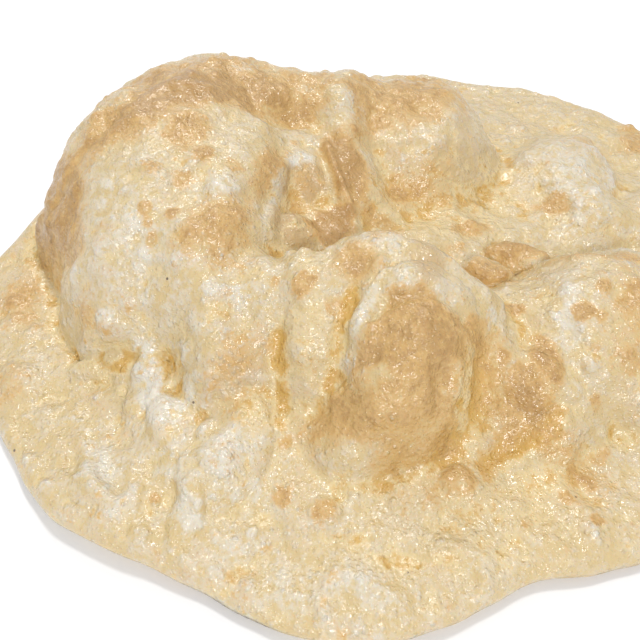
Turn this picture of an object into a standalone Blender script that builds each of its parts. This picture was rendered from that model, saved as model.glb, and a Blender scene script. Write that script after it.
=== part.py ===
"""A large puffed fried flatbread: one thin round of dough, blown up into domes, lobes and folds.

Units are metres, +Z is up, and the bread rests on z = 0 with its outline centred on the origin.
Its front, where the folds face the eater, is towards -Y. The top skin is a sheet that bubbles,
blisters, dents, creases and ridges push up or down, each from its own named sizes.
"""

import math
from typing import NamedTuple

import bpy
import numpy as np

# Driving dimensions of the sheet.
MEAN_RADIUS = 0.115
BRIM_HEIGHT = 0.0056
MIDDLE_HEIGHT = 0.0105
BRIM_FROM = 0.85
MIDDLE_TO = 0.45
EDGE_THICKNESS = 0.0022
EDGE_ROUNDING = 0.0045
EDGE_RIPPLE = 0.0010
RIPPLE_SIZE = 0.013
RIPPLE_SEED = 11

# The rim lies nearly on the table, waving a little, and is lifted behind the big dome.
RIM_HEIGHT = 0.0030
RIM_WAVE = 0.0018
RIM_WAVE_SIZE = 0.045
RIM_WAVE_SEED = 31
RAISED_RIM = 0.0150
RAISED_MIDDLE = 147.0
RAISED_FULL = 16.0
RAISED_END = 42.0
FLAT_SHARE = 0.86
RAISED_FLAT_SHARE = 0.62

# How bubbles are shaped and run together: a lower merge power melts them more.
ROUNDNESS = 2.3
MERGE_POWER = 4.0
BLISTER_STEEP = 0.65
RIM_BLEND = 0.0030

# How finely the skin is made, and how many triangles are kept of it.
GRID_CELLS = 120
SETTLING_ROUNDS = 20
SETTLING_PACE = 0.5
STEEPEST_PULL = 4.0
SOLID_FACES = 10800

# The outline, drawn out by hand and so uneven: angle from +X in degrees, and radius.
OUTLINE = (
    (0, 0.1225),
    (28, 0.1290),
    (50, 0.1262),
    (72, 0.1190),
    (95, 0.1155),
    (122, 0.1155),
    (140, 0.1175),
    (153, 0.1140),
    (165, 0.1050),
    (174, 0.1090),
    (184, 0.1190),
    (205, 0.1165),
    (228, 0.1148),
    (246, 0.1095),
    (262, 0.1118),
    (272, 0.1090),
    (284, 0.1030),
    (302, 0.1085),
    (330, 0.1150),
)


class Bubble(NamedTuple):
    """A swelling blown up from the sheet: an oval in plan, with its crown above the table.

    Its lean is how much higher it is on the side that its turned short half points to.
    """

    x: float
    y: float
    half_long: float
    half_short: float
    turn: float
    crown: float
    steep: float
    lean: float = 0.0


class Blister(NamedTuple):
    """A small round bump on the skin, or a dimple where its rise is below zero."""

    x: float
    y: float
    half_long: float
    half_short: float
    turn: float
    rise: float
    steep: float = BLISTER_STEEP


class Crease(NamedTuple):
    """A folded line in the skin, pressed in by its depth, or a ridge where that is below zero."""

    depth: float
    width: float
    points: tuple


BUBBLES = (
    # The swollen middle that the domes and lobes stand on, and its slope at the front.
    Bubble(-0.012, -0.004, 0.066, 0.056, 60, 0.0180, 0.60),
    Bubble(-0.010, -0.050, 0.050, 0.026, -4, 0.0200, 0.70),
    # The big dome on the left, its ridge beside the valley, and the lobe at its foot.
    Bubble(-0.061, 0.020, 0.068, 0.041, 86, 0.0475, 0.50),
    Bubble(-0.0385, -0.0060, 0.029, 0.0125, 84, 0.0335, 0.60),
    Bubble(-0.044, -0.029, 0.023, 0.019, 60, 0.0350, 0.60),
    Bubble(-0.041, -0.0455, 0.0165, 0.0155, 80, 0.0250, 0.55),
    # The bridge from the dome to the middle lobe.
    Bubble(-0.028, -0.034, 0.018, 0.012, 90, 0.0290, 0.80),
    # The lobe at the back, the saddle that joins it to the dome, and the skin that drapes from it.
    Bubble(0.011, 0.048, 0.037, 0.036, 10, 0.0330, 0.60),
    Bubble(-0.025, 0.050, 0.034, 0.026, 0, 0.0385, 0.75),
    Bubble(-0.015, 0.024, 0.036, 0.022, -72, 0.0320, 0.90),
    Bubble(-0.024, 0.014, 0.022, 0.011, 90, 0.0300, 0.90),
    # The valley's floor, and its step up to the dome.
    Bubble(-0.018, -0.006, 0.022, 0.015, 70, 0.0225, 0.90),
    Bubble(-0.0265, -0.0125, 0.0120, 0.0090, 60, 0.0275, 0.80),
    # The lobe in the middle, whose rim hides the valley behind it.
    Bubble(-0.0035, -0.0435, 0.0350, 0.0255, -2, 0.0380, 0.50, 0.34),
    # The brown blister that hangs over the front, with its lower end and the lobe beside it.
    Bubble(0.003, -0.057, 0.020, 0.0160, 60, 0.0280, 0.55),
    Bubble(-0.004, -0.066, 0.021, 0.012, 25, 0.0180, 0.65),
    Bubble(0.021, -0.047, 0.018, 0.013, 80, 0.0220, 0.70),
    # The wide mound on the right, the slope down its left side, and the neck to the middle lobe.
    Bubble(0.073, -0.037, 0.046, 0.030, -8, 0.0300, 0.55),
    Bubble(0.042, -0.046, 0.030, 0.023, 35, 0.0215, 0.85),
    Bubble(0.030, -0.032, 0.020, 0.014, 0, 0.0205, 0.80),
    # Low lobes round the basin at the back right.
    Bubble(0.066, 0.038, 0.030, 0.022, 75, 0.0185, 0.80),
    Bubble(0.071, 0.014, 0.018, 0.014, 20, 0.0140, 0.80),
    Bubble(0.098, 0.010, 0.022, 0.026, 10, 0.0155, 0.75),
    # The flap of skin at the dome's left end.
    Bubble(-0.0962, -0.0035, 0.0120, 0.0060, -62, 0.0200, 0.60),
    # The swellings at the dome's foot that its pillows stand on.
    Bubble(-0.047, -0.066, 0.030, 0.018, -35, 0.0105, 0.90),
    Bubble(-0.064, -0.078, 0.017, 0.013, 0, 0.0085, 0.85),
    Bubble(-0.067, -0.047, 0.020, 0.008, -12, 0.0115, 0.90),
)

BLISTERS = (
    # The brown blister's swollen top, the pillow beside it, and two small blisters behind it.
    Blister(0.003, -0.056, 0.0180, 0.0150, 60, 0.0040, 0.45),
    Blister(-0.0215, -0.053, 0.0110, 0.0070, 80, 0.0024),
    Blister(-0.010, -0.056, 0.0060, 0.0045, 60, 0.0016),
    Blister(0.0275, -0.0195, 0.0085, 0.0060, 10, 0.0075),
    Blister(0.0385, -0.0105, 0.0092, 0.0060, -3, 0.0075),
    # Pillows in front of the dome.
    Blister(-0.0615, -0.0515, 0.0105, 0.0050, 70, 0.0028),
    Blister(-0.0540, -0.0610, 0.0115, 0.0062, -75, 0.0032),
    Blister(-0.0400, -0.0725, 0.0150, 0.0095, 62, 0.0030),
    Blister(-0.0475, -0.0860, 0.0080, 0.0042, 88, 0.0022),
    # Swellings on the mound's left slope and at its foot.
    Blister(0.0320, -0.0570, 0.0080, 0.0060, -20, 0.0022),
    Blister(0.0130, -0.0780, 0.0046, 0.0040, 0, 0.0016),
    # Low ones on the brim, and a dimple in the dome's shoulder.
    Blister(-0.009, -0.100, 0.012, 0.010, 20, 0.0018),
    Blister(-0.017, -0.085, 0.0042, 0.0035, 0, 0.0012),
    Blister(-0.084, -0.058, 0.006, 0.004, 20, 0.0014),
    Blister(-0.101, -0.028, 0.009, 0.006, -70, 0.0013),
    Blister(-0.095, -0.050, 0.008, 0.005, -60, 0.0013),
    Blister(-0.082, -0.030, 0.008, 0.013, 15, -0.0022),
)

CREASES = (
    # Between the dome and the middle lobe, and down the flap at the dome's left end.
    Crease(
        0.0024,
        0.0032,
        ((-0.030, -0.024), (-0.0275, -0.031), (-0.0275, -0.041), (-0.0285, -0.052), (-0.026, -0.062)),
    ),
    Crease(0.0020, 0.0030, ((-0.098, -0.006), (-0.091, -0.026), (-0.082, -0.040))),
    # The fold down the middle lobe's face, with the groove on its left, and the groove below.
    Crease(-0.0015, 0.0018, ((-0.0045, -0.0385), (-0.0065, -0.0440), (-0.0110, -0.0520))),
    Crease(0.0018, 0.0030, ((-0.0095, -0.0385), (-0.012, -0.046), (-0.0150, -0.052), (-0.0135, -0.060))),
    # The valley's left edge, the ridge where its wall meets the draped skin, and that skin's fold.
    Crease(-0.0022, 0.0016, ((-0.0280, 0.007), (-0.0302, -0.0033), (-0.0310, -0.0118), (-0.0310, -0.0185))),
    Crease(-0.0026, 0.0016, ((-0.0165, 0.018), (-0.013, 0.007), (-0.008, -0.006))),
    Crease(-0.0035, 0.0060, ((-0.012, 0.036), (-0.007, 0.022), (0.000, 0.010))),
    # The line across the brown blister's lower end, and folds down the mound's left slope.
    Crease(0.0020, 0.0016, ((-0.006, -0.0612), (-0.010, -0.0600), (-0.018, -0.0590))),
    Crease(0.0013, 0.0020, ((0.0165, -0.062), (0.0205, -0.052), (0.0240, -0.045))),
    Crease(0.0014, 0.0018, ((0.0200, -0.0725), (0.0280, -0.0685), (0.0360, -0.0620))),
    # The brown blister's upper edge, and the fold of skin along its right side.
    Crease(
        0.0021,
        0.0015,
        ((-0.0065, -0.0526), (-0.0039, -0.0505), (0.0037, -0.0490), (0.0100, -0.0490), (0.0145, -0.0512)),
    ),
    Crease(-0.0011, 0.0015, ((0.0047, -0.0739), (0.0089, -0.0698), (0.0117, -0.0659), (0.0121, -0.0617))),
    # The fold on the dome's left shoulder, and ridges on the front brim.
    Crease(0.0012, 0.0022, ((-0.091, -0.004), (-0.0855, 0.0015), (-0.0810, 0.0065), (-0.0750, 0.0135))),
    Crease(-0.0014, 0.0022, ((-0.076, -0.066), (-0.071, -0.077), (-0.064, -0.084), (-0.057, -0.089))),
    Crease(-0.0010, 0.0018, ((-0.022, -0.094), (-0.0125, -0.089), (-0.001, -0.091))),
)

# Unevenness of the whole skin: the size of the lumps, how far they reach, and their seed.
LUMPS = (
    (0.034, 0.0022, 3),
    (0.015, 0.0014, 5),
    (0.0075, 0.0008, 7),
)
# How much of it is lost towards the rim.
LUMPS_LOST_AT_RIM = 0.6
# Sideways unevenness, which bends the bubbles' outlines.
WARPS = (
    (0.030, 0.0035, 21),
    (0.013, 0.0014, 23),
)

# Noise repeats after this many of its cells, and this gain brings it to about -1 to 1.
NOISE_CELLS = 64
NOISE_GAIN = 1.5

CRUST_COLOUR = (0.67, 0.52, 0.31)
CRUST_ROUGHNESS = 0.50


def noise(x, y, size, seed):
    """Smooth noise from about -1 to 1, with lumps about one size across."""
    slopes = np.random.default_rng(seed).uniform(0.0, 2.0 * math.pi, (NOISE_CELLS, NOISE_CELLS))
    across = x / size + NOISE_CELLS / 2
    along = y / size + NOISE_CELLS / 2
    column = np.floor(across).astype(int)
    row = np.floor(along).astype(int)
    u = across - column
    v = along - row

    def corner(right, up):
        angle = slopes[(column + right) % NOISE_CELLS, (row + up) % NOISE_CELLS]
        return np.cos(angle) * (u - right) + np.sin(angle) * (v - up)

    fade_u = u**3 * (u * (6.0 * u - 15.0) + 10.0)
    fade_v = v**3 * (v * (6.0 * v - 15.0) + 10.0)
    low = corner(0, 0) + fade_u * (corner(1, 0) - corner(0, 0))
    high = corner(0, 1) + fade_u * (corner(1, 1) - corner(0, 1))
    return NOISE_GAIN * (low + fade_v * (high - low))


def smooth_max(first, second, blend):
    """The higher of two heights, rounded where they cross."""
    overlap = np.maximum(blend - np.abs(first - second), 0.0)
    return np.maximum(first, second) + overlap**2 / (4.0 * blend)


def smooth_step(value, low, high):
    share = np.clip((value - low) / (high - low), 0.0, 1.0)
    return share * share * (3.0 - 2.0 * share)


def outline_radius(angle):
    """The outline's radius at an angle in radians, on a smooth closed curve with a fine ripple."""
    knots = np.array([radius for _, radius in OUTLINE])
    degrees = np.array([float(turn) for turn, _ in OUTLINE])
    count = len(knots)
    turned = np.degrees(angle) % 360.0
    after = np.searchsorted(degrees, turned, side="right") % count
    before = (after - 1) % count
    span = (degrees[after] - degrees[before]) % 360.0
    share = ((turned - degrees[before]) % 360.0) / span
    first = knots[(before - 1) % count]
    last = knots[(after + 1) % count]
    start = 0.5 * (knots[after] - first)
    end = 0.5 * (last - knots[before])
    square = share * share
    cube = square * share
    smooth = (
        (2 * cube - 3 * square + 1) * knots[before]
        + (cube - 2 * square + share) * start
        + (3 * square - 2 * cube) * knots[after]
        + (cube - square) * end
    )
    return smooth + EDGE_RIPPLE * rim_noise(angle, RIPPLE_SIZE, RIPPLE_SEED)


def rim_noise(angle, size, seed):
    return noise(MEAN_RADIUS * np.cos(angle), MEAN_RADIUS * np.sin(angle), size, seed)


def oval_shares(shape, x, y):
    """A point's place on an oval, as shares of its long and short halves."""
    turn = math.radians(shape.turn)
    across = x - shape.x
    along = y - shape.y
    long_share = (across * math.cos(turn) + along * math.sin(turn)) / shape.half_long
    short_share = (along * math.cos(turn) - across * math.sin(turn)) / shape.half_short
    return long_share, short_share


def oval_reach(shape, x, y):
    """How far a point lies from an oval's middle, as a share of the way to its edge."""
    return np.hypot(*oval_shares(shape, x, y))


def bubble_height(bubble, x, y):
    long_share, short_share = oval_shares(bubble, x, y)
    fall = 1.0 - np.hypot(long_share, short_share) ** ROUNDNESS
    leaning = np.clip(1.0 + bubble.lean * short_share, 0.0, 2.0)
    return bubble.crown * leaning * np.clip(fall, 0.0, 1.0) ** bubble.steep


def distance_to_line(points, x, y):
    nearest = np.full(x.shape, np.inf)
    for (x0, y0), (x1, y1) in zip(points, points[1:]):
        run_x = x1 - x0
        run_y = y1 - y0
        share = ((x - x0) * run_x + (y - y0) * run_y) / (run_x**2 + run_y**2)
        share = np.clip(share, 0.0, 1.0)
        nearest = np.minimum(nearest, np.hypot(x - x0 - share * run_x, y - y0 - share * run_y))
    return nearest


def raised_share(angle):
    """How far the rim is lifted off the table: 1 behind the dome, 0 where the brim lies down."""
    apart = np.abs(np.degrees(angle) % 360.0 - RAISED_MIDDLE)
    return 1.0 - smooth_step(apart, RAISED_FULL, RAISED_END)


def rim_height(angle):
    """Height of the sheet's very edge, where its two skins meet."""
    low = RIM_HEIGHT + RIM_WAVE * rim_noise(angle, RIM_WAVE_SIZE, RIM_WAVE_SEED)
    return low + raised_share(angle) * (RAISED_RIM - low)


def place_on_sheet(x, y):
    """A plan point's share of the way out to the rim, and its angle."""
    angle = np.arctan2(y, x)
    return np.clip(np.hypot(x, y) / outline_radius(angle), 0.0, 1.0), angle


def swollen_height(x, y, share):
    """Height of the top skin before it is rounded off at the rim."""
    warped_x = x
    warped_y = y
    for size, reach, seed in WARPS:
        warped_x = warped_x + reach * noise(x, y, size, seed)
        warped_y = warped_y + reach * noise(x, y, size, seed + 1)
    sheet = MIDDLE_HEIGHT + (BRIM_HEIGHT - MIDDLE_HEIGHT) * smooth_step(share, MIDDLE_TO, BRIM_FROM)
    heights = [sheet] + [bubble_height(bubble, warped_x, warped_y) for bubble in BUBBLES]
    height = sum(one**MERGE_POWER for one in heights) ** (1.0 / MERGE_POWER)
    for blister in BLISTERS:
        fall = np.clip(1.0 - oval_reach(blister, x, y) ** 2, 0.0, 1.0)
        height = height + blister.rise * fall**blister.steep
    for crease in CREASES:
        away = distance_to_line(crease.points, x, y) / crease.width
        height = height - crease.depth * np.exp(-(away**2))
    for size, reach, seed in LUMPS:
        height = height + reach * noise(x, y, size, seed) * (1.0 - LUMPS_LOST_AT_RIM * share**4)
    return height


def top_height(x, y):
    share, angle = place_on_sheet(x, y)
    rim = rim_height(angle)
    top = smooth_max(swollen_height(x, y, share), rim + EDGE_THICKNESS, RIM_BLEND)
    inward = np.clip((1.0 - share) * MEAN_RADIUS / EDGE_ROUNDING, 0.0, 1.0)
    return rim + (top - rim) * np.sqrt(1.0 - (1.0 - inward) ** 2)


def bottom_height(x, y):
    """Height of the underside: flat on the table, then curving up to the rim."""
    share, angle = place_on_sheet(x, y)
    flat = FLAT_SHARE + (RAISED_FLAT_SHARE - FLAT_SHARE) * raised_share(angle)
    lift = np.clip((share - flat) / (1.0 - flat), 0.0, 1.0)
    return rim_height(angle) * lift**2


def disc_grid(cells):
    """Plan points of a square grid of cells, spread over the outline."""
    steps = np.linspace(-1.0, 1.0, cells + 1)
    u, v = np.meshgrid(steps, steps, indexing="ij")
    disc_x = u * np.sqrt(1.0 - 0.5 * v**2)
    disc_y = v * np.sqrt(1.0 - 0.5 * u**2)
    radius = outline_radius(np.arctan2(disc_y, disc_x))
    return disc_x * radius, disc_y * radius


def slope_share(x, y):
    """How much larger the skin is than its plan round each inner point of a grid."""
    points = np.stack([x, y, top_height(x, y)], axis=-1)
    normals = np.cross(points[1:, :-1] - points[:-1, :-1], points[:-1, 1:] - points[:-1, :-1])
    cells = np.linalg.norm(normals, axis=-1) / np.abs(normals[..., 2])
    spread = np.pad(cells, 1, mode="edge")
    return 0.25 * (spread[1:, 1:] + spread[:-1, 1:] + spread[1:, :-1] + spread[:-1, :-1])


def settled(x, y):
    """Draws a grid's inner points together on slopes, so that the skin is made as finely there."""
    for _ in range(SETTLING_ROUNDS):
        pull = np.minimum(slope_share(x, y), STEEPEST_PULL)
        total = pull[:-2, 1:-1] + pull[2:, 1:-1] + pull[1:-1, :-2] + pull[1:-1, 2:]
        for place in (x, y):
            drawn = pull * place
            middle = drawn[:-2, 1:-1] + drawn[2:, 1:-1] + drawn[1:-1, :-2] + drawn[1:-1, 2:]
            place[1:-1, 1:-1] += SETTLING_PACE * (middle / total - place[1:-1, 1:-1])
    return x, y


def skin_points(cells):
    """Points of the top skin and of the underside, each as a grid of (x, y, z)."""
    x, y = disc_grid(cells)
    middle = np.array([0.5 * (x.min() + x.max()), 0.5 * (y.min() + y.max()), 0.0])
    bottom = np.stack([x, y, bottom_height(x, y)], axis=-1)
    x, y = settled(x, y)
    top = np.stack([x, y, top_height(x, y)], axis=-1)
    return top - middle, bottom - middle


def grid_triangles(cells, index):
    """Triangles over a grid of point numbers, each cell split along the line through its corner."""
    triangles = []
    for i in range(cells):
        for j in range(cells):
            a, b = index[i, j], index[i + 1, j]
            c, d = index[i + 1, j + 1], index[i, j + 1]
            if (i < cells / 2) == (j < cells / 2):
                triangles += [(a, b, c), (a, c, d)]
            else:
                triangles += [(a, b, d), (b, c, d)]
    return triangles


def bread_mesh(cells):
    """A closed mesh: the top skin and the underside, sewn together along the rim."""
    top, bottom = skin_points(cells)
    count = cells + 1
    top_index = np.arange(count * count).reshape(count, count)
    inner = np.zeros((count, count), bool)
    inner[1:-1, 1:-1] = True
    bottom_index = top_index.copy()
    bottom_index[inner] = count * count + np.arange(inner.sum())
    points = np.concatenate([top.reshape(-1, 3), bottom[inner]])
    faces = grid_triangles(cells, top_index)
    faces += [face[::-1] for face in grid_triangles(cells, bottom_index)]
    mesh = bpy.data.meshes.new("puri")
    mesh.from_pydata(points.tolist(), [], [tuple(int(n) for n in face) for face in faces])
    mesh.shade_smooth()
    return mesh


def crust_material():
    material = bpy.data.materials.new("fried_dough")
    material.use_nodes = True
    shader = material.node_tree.nodes["Principled BSDF"]
    shader.inputs["Base Color"].default_value = (*CRUST_COLOUR, 1.0)
    shader.inputs["Roughness"].default_value = CRUST_ROUGHNESS
    shader.inputs["Metallic"].default_value = 0.0
    return material


def make_bread():
    bread = bpy.data.objects.new("puri", bread_mesh(GRID_CELLS))
    bread.data.materials.append(crust_material())
    bpy.context.scene.collection.objects.link(bread)
    thinning = bread.modifiers.new("thinning", "DECIMATE")
    thinning.ratio = SOLID_FACES / len(bread.data.polygons)
    return bread


for old in list(bpy.data.objects):
    bpy.data.objects.remove(old)
make_bread()
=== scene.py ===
import itertools
import math
from typing import NamedTuple

import bpy
import numpy as np
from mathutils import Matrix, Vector


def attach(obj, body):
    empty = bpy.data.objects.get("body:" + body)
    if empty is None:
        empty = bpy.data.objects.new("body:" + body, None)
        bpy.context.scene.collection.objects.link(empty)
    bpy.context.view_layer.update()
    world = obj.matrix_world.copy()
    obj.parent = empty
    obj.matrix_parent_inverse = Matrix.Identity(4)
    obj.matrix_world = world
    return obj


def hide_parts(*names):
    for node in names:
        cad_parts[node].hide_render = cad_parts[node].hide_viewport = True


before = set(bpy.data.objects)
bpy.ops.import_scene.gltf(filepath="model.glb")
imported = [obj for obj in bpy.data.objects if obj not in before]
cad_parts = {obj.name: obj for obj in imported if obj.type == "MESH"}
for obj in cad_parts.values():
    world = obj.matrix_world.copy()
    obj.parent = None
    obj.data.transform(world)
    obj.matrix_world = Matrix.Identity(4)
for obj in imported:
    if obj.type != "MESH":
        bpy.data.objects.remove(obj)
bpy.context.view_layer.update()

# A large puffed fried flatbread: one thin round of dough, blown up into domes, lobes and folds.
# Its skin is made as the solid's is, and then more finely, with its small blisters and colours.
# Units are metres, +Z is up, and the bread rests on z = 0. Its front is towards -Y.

# Driving dimensions of the sheet.
MEAN_RADIUS = 0.115
BRIM_HEIGHT = 0.0056
MIDDLE_HEIGHT = 0.0105
BRIM_FROM = 0.85
MIDDLE_TO = 0.45
EDGE_THICKNESS = 0.0022
EDGE_ROUNDING = 0.0045
EDGE_RIPPLE = 0.0010
RIPPLE_SIZE = 0.013
RIPPLE_SEED = 11

# The rim lies nearly on the table, waving a little, and is lifted behind the big dome.
RIM_HEIGHT = 0.0030
RIM_WAVE = 0.0018
RIM_WAVE_SIZE = 0.045
RIM_WAVE_SEED = 31
RAISED_RIM = 0.0150
RAISED_MIDDLE = 147.0
RAISED_FULL = 16.0
RAISED_END = 42.0
FLAT_SHARE = 0.86
RAISED_FLAT_SHARE = 0.62

# How bubbles are shaped and run together: a lower merge power melts them more.
ROUNDNESS = 2.3
MERGE_POWER = 4.0
BLISTER_STEEP = 0.65
RIM_BLEND = 0.0030

# How finely the skin is made. The cells are a multiple of 4, for the underside's rings.
GRID_CELLS = 296
SETTLING_ROUNDS = 20
SETTLING_PACE = 0.5
STEEPEST_PULL = 4.0

# The outline, drawn out and uneven: angle from +X in degrees, and radius.
OUTLINE = (
    (0, 0.1225),
    (28, 0.1290),
    (50, 0.1262),
    (72, 0.1190),
    (95, 0.1155),
    (122, 0.1155),
    (140, 0.1175),
    (153, 0.1140),
    (165, 0.1050),
    (174, 0.1090),
    (184, 0.1190),
    (205, 0.1165),
    (228, 0.1148),
    (246, 0.1095),
    (262, 0.1118),
    (272, 0.1090),
    (284, 0.1030),
    (302, 0.1085),
    (330, 0.1150),
)


class Bubble(NamedTuple):
    """A swelling blown up from the sheet: an oval in plan, with its crown above the table.

    Its lean is how much higher it is on the side that its turned short half points to.
    """

    x: float
    y: float
    half_long: float
    half_short: float
    turn: float
    crown: float
    steep: float
    lean: float = 0.0


class Blister(NamedTuple):
    """A small round bump on the skin, or a dimple where its rise is below zero."""

    x: float
    y: float
    half_long: float
    half_short: float
    turn: float
    rise: float
    steep: float = BLISTER_STEEP


class Crease(NamedTuple):
    """A folded line in the skin, pressed in by its depth, or a ridge where that is below zero."""

    depth: float
    width: float
    points: tuple


BUBBLES = (
    # The swollen middle that the domes and lobes stand on, and its slope at the front.
    Bubble(-0.012, -0.004, 0.066, 0.056, 60, 0.018, 0.6),
    Bubble(-0.01, -0.05, 0.05, 0.026, -4, 0.02, 0.7),
    # The big dome on the left, its ridge beside the valley, and the lobe at its foot.
    Bubble(-0.061, 0.02, 0.068, 0.041, 86, 0.0475, 0.5),
    Bubble(-0.0385, -0.006, 0.029, 0.0125, 84, 0.0335, 0.6),
    Bubble(-0.044, -0.029, 0.023, 0.019, 60, 0.035, 0.6),
    Bubble(-0.041, -0.0455, 0.0165, 0.0155, 80, 0.025, 0.55),
    # The bridge from the dome to the middle lobe.
    Bubble(-0.028, -0.034, 0.018, 0.012, 90, 0.029, 0.8),
    # The lobe at the back, the saddle that joins it to the dome, and the skin that drapes from it.
    Bubble(0.011, 0.048, 0.037, 0.036, 10, 0.033, 0.6),
    Bubble(-0.025, 0.05, 0.034, 0.026, 0, 0.0385, 0.75),
    Bubble(-0.015, 0.024, 0.036, 0.022, -72, 0.032, 0.9),
    Bubble(-0.024, 0.014, 0.022, 0.011, 90, 0.03, 0.9),
    # The valley's floor, and its step up to the dome.
    Bubble(-0.018, -0.006, 0.022, 0.015, 70, 0.0225, 0.9),
    Bubble(-0.0265, -0.0125, 0.012, 0.009, 60, 0.0275, 0.8),
    # The lobe in the middle, whose rim hides the valley behind it.
    Bubble(-0.0035, -0.0435, 0.035, 0.0255, -2, 0.038, 0.5, 0.34),
    # The brown blister that hangs over the front, with its lower end and the lobe beside it.
    Bubble(0.003, -0.057, 0.02, 0.016, 60, 0.028, 0.55),
    Bubble(-0.004, -0.066, 0.021, 0.012, 25, 0.018, 0.65),
    Bubble(0.021, -0.047, 0.018, 0.013, 80, 0.022, 0.7),
    # The wide mound on the right, the slope down its left side, and the neck to the middle lobe.
    Bubble(0.073, -0.037, 0.046, 0.03, -8, 0.03, 0.55),
    Bubble(0.042, -0.046, 0.03, 0.023, 35, 0.0215, 0.85),
    Bubble(0.03, -0.032, 0.02, 0.014, 0, 0.0205, 0.8),
    # Low lobes round the basin at the back right.
    Bubble(0.066, 0.038, 0.03, 0.022, 75, 0.0185, 0.8),
    Bubble(0.071, 0.014, 0.018, 0.014, 20, 0.014, 0.8),
    Bubble(0.098, 0.01, 0.022, 0.026, 10, 0.0155, 0.75),
    # The flap of skin at the dome's left end.
    Bubble(-0.0962, -0.0035, 0.012, 0.006, -62, 0.02, 0.6),
    # The swellings at the dome's foot that its pillows stand on.
    Bubble(-0.047, -0.066, 0.03, 0.018, -35, 0.0105, 0.9),
    Bubble(-0.064, -0.078, 0.017, 0.013, 0, 0.0085, 0.85),
    Bubble(-0.067, -0.047, 0.02, 0.008, -12, 0.0115, 0.9),
)

BLISTERS = (
    # The brown blister's swollen top, the pillow beside it, and two small blisters behind it.
    Blister(0.003, -0.056, 0.018, 0.015, 60, 0.004, 0.45),
    Blister(-0.0215, -0.053, 0.011, 0.007, 80, 0.0024),
    Blister(-0.01, -0.056, 0.006, 0.0045, 60, 0.0016),
    Blister(0.0275, -0.0195, 0.0085, 0.006, 10, 0.0075),
    Blister(0.0385, -0.0105, 0.0092, 0.006, -3, 0.0075),
    # Pillows in front of the dome.
    Blister(-0.0615, -0.0515, 0.0105, 0.005, 70, 0.0028),
    Blister(-0.054, -0.061, 0.0115, 0.0062, -75, 0.0032),
    Blister(-0.04, -0.0725, 0.015, 0.0095, 62, 0.003),
    Blister(-0.0475, -0.086, 0.008, 0.0042, 88, 0.0022),
    # Swellings on the mound's left slope and at its foot.
    Blister(0.032, -0.057, 0.008, 0.006, -20, 0.0022),
    Blister(0.013, -0.078, 0.0046, 0.004, 0, 0.0016),
    # Low ones on the brim, and a dimple in the dome's shoulder.
    Blister(-0.009, -0.1, 0.012, 0.01, 20, 0.0018),
    Blister(-0.017, -0.085, 0.0042, 0.0035, 0, 0.0012),
    Blister(-0.084, -0.058, 0.006, 0.004, 20, 0.0014),
    Blister(-0.101, -0.028, 0.009, 0.006, -70, 0.0013),
    Blister(-0.095, -0.05, 0.008, 0.005, -60, 0.0013),
    Blister(-0.082, -0.03, 0.008, 0.013, 15, -0.0022),
)

CREASES = (
    # Between the dome and the middle lobe, and down the flap at the dome's left end.
    Crease(
        0.0024,
        0.0032,
        ((-0.03, -0.024), (-0.0275, -0.031), (-0.0275, -0.041), (-0.0285, -0.052), (-0.026, -0.062)),
    ),
    Crease(0.002, 0.003, ((-0.098, -0.006), (-0.091, -0.026), (-0.082, -0.04))),
    # The fold down the middle lobe's face, with the groove on its left, and the groove below.
    Crease(-0.0015, 0.0018, ((-0.0045, -0.0385), (-0.0065, -0.044), (-0.011, -0.052))),
    Crease(0.0018, 0.003, ((-0.0095, -0.0385), (-0.012, -0.046), (-0.015, -0.052), (-0.0135, -0.06))),
    # The valley's left edge, the ridge where its wall meets the draped skin, and that skin's fold.
    Crease(-0.0022, 0.0016, ((-0.028, 0.007), (-0.0302, -0.0033), (-0.031, -0.0118), (-0.031, -0.0185))),
    Crease(-0.0026, 0.0016, ((-0.0165, 0.018), (-0.013, 0.007), (-0.008, -0.006))),
    Crease(-0.0035, 0.006, ((-0.012, 0.036), (-0.007, 0.022), (0.0, 0.01))),
    # The line across the brown blister's lower end, and folds down the mound's left slope.
    Crease(0.002, 0.0016, ((-0.006, -0.0612), (-0.01, -0.06), (-0.018, -0.059))),
    Crease(0.0013, 0.002, ((0.0165, -0.062), (0.0205, -0.052), (0.024, -0.045))),
    Crease(0.0014, 0.0018, ((0.02, -0.0725), (0.028, -0.0685), (0.036, -0.062))),
    # The brown blister's upper edge, and the fold of skin along its right side.
    Crease(
        0.0021,
        0.0015,
        ((-0.0065, -0.0526), (-0.0039, -0.0505), (0.0037, -0.049), (0.01, -0.049), (0.0145, -0.0512)),
    ),
    Crease(-0.0011, 0.0015, ((0.0047, -0.0739), (0.0089, -0.0698), (0.0117, -0.0659), (0.0121, -0.0617))),
    # The fold on the dome's left shoulder, and ridges on the front brim.
    Crease(0.0012, 0.0022, ((-0.091, -0.004), (-0.0855, 0.0015), (-0.081, 0.0065), (-0.075, 0.0135))),
    Crease(-0.0014, 0.0022, ((-0.076, -0.066), (-0.071, -0.077), (-0.064, -0.084), (-0.057, -0.089))),
    Crease(-0.001, 0.0018, ((-0.022, -0.094), (-0.0125, -0.089), (-0.001, -0.091))),
)

# Unevenness of the whole skin: the size of the lumps, how far they reach, and their seed.
LUMPS = (
    (0.034, 0.0022, 3),
    (0.015, 0.0014, 5),
    (0.0075, 0.0008, 7),
)
# How much of it is lost towards the rim.
LUMPS_LOST_AT_RIM = 0.6
# Sideways unevenness, which bends the bubbles' outlines.
WARPS = (
    (0.03, 0.0035, 21),
    (0.013, 0.0014, 23),
)

# Noise in plan and in space repeats after so many cells. The gains bring it to about -1 to 1.
NOISE_CELLS = 64
NOISE_GAIN = 1.5
SPACE_CELLS = 32
SPACE_GAIN = 1.6

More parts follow.
